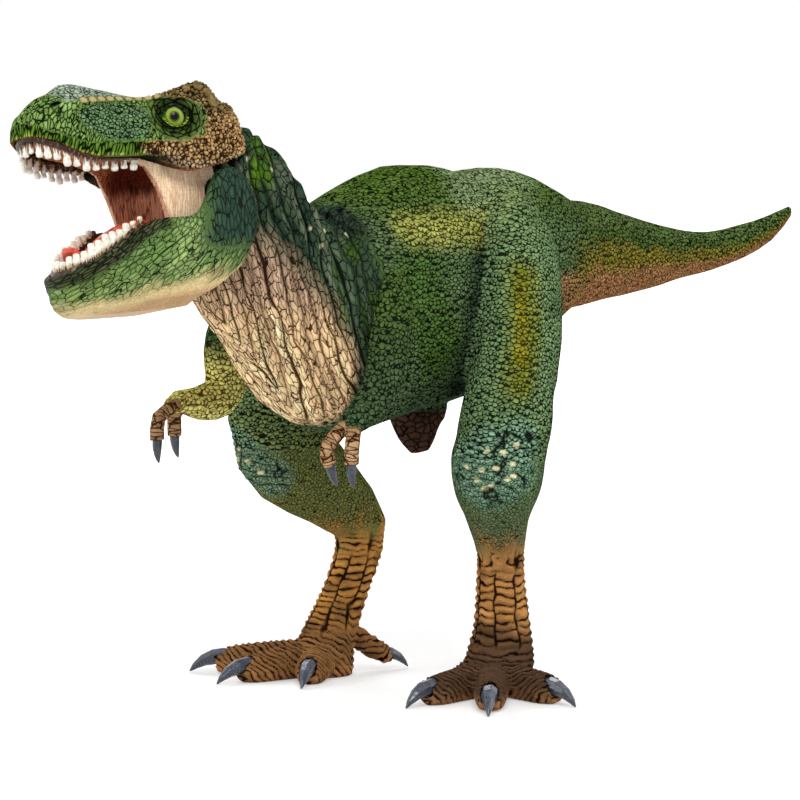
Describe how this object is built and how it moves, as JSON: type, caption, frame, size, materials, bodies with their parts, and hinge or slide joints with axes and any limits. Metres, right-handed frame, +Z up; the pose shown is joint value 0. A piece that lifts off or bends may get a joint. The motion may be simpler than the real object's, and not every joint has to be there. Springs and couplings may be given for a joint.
{
  "type": "toy dinosaur figure",
  "caption": "Striding two-legged meat-eating dinosaur figure with short arms, a long raised tail, clawed feet and an open mouth whose lower jaw is hinged.",
  "frame": {"origin": "on the floor under the middle of the whole figure, a few millimetres behind the hips and to the right of the trunk's middle plane", "axes": "-X towards the snout, +X towards the tail, -Y the figure's left side, +Z up, feet on z = 0"},
  "size_m": [0.2638, 0.1036, 0.141],
  "materials": {
    "green_skin": "satin, painted and scaled",
    "jaw_skin": "satin, painted and scaled",
    "slate_claw": "glossy",
    "mouth_flesh": "satin",
    "tongue_red": "glossy",
    "ivory_teeth": "glossy",
    "eye_gloss": "glossy",
    "pin_steel": "plain"
  },
  "bodies": {
    "figure": {"torso": "green_skin", "tail": "green_skin", "head": "green_skin", "left_leg": "green_skin", "right_leg": "green_skin", "left_arm": "green_skin", "right_arm": "green_skin", "mouth_lining": "mouth_flesh", "upper_teeth": "ivory_teeth", "left_eye": "eye_gloss", "right_eye": "eye_gloss", "jaw_pin": "pin_steel", "left_foot_inner_claw": "slate_claw", "left_foot_middle_claw": "slate_claw", "left_foot_outer_claw": "slate_claw", "left_foot_rear_claw": "slate_claw", "right_foot_inner_claw": "slate_claw", "right_foot_middle_claw": "slate_claw", "right_foot_outer_claw": "slate_claw", "right_foot_rear_claw": "slate_claw", "left_hand_inner_claw": "slate_claw", "left_hand_outer_claw": "slate_claw", "right_hand_inner_claw": "slate_claw", "right_hand_outer_claw": "slate_claw"},
    "jaw": {"lower_jaw": "jaw_skin", "tongue": "tongue_red", "lower_teeth": "ivory_teeth"}
  },
  "joints": [
    {"name": "jaw_hinge", "type": "hinge", "parent": "figure", "child": "jaw", "pos_m": [-0.08991, -0.0059, 0.1155], "axis": [0.1204, 0.9803, -0.1564], "range_deg": [0, 26]}
  ]
}
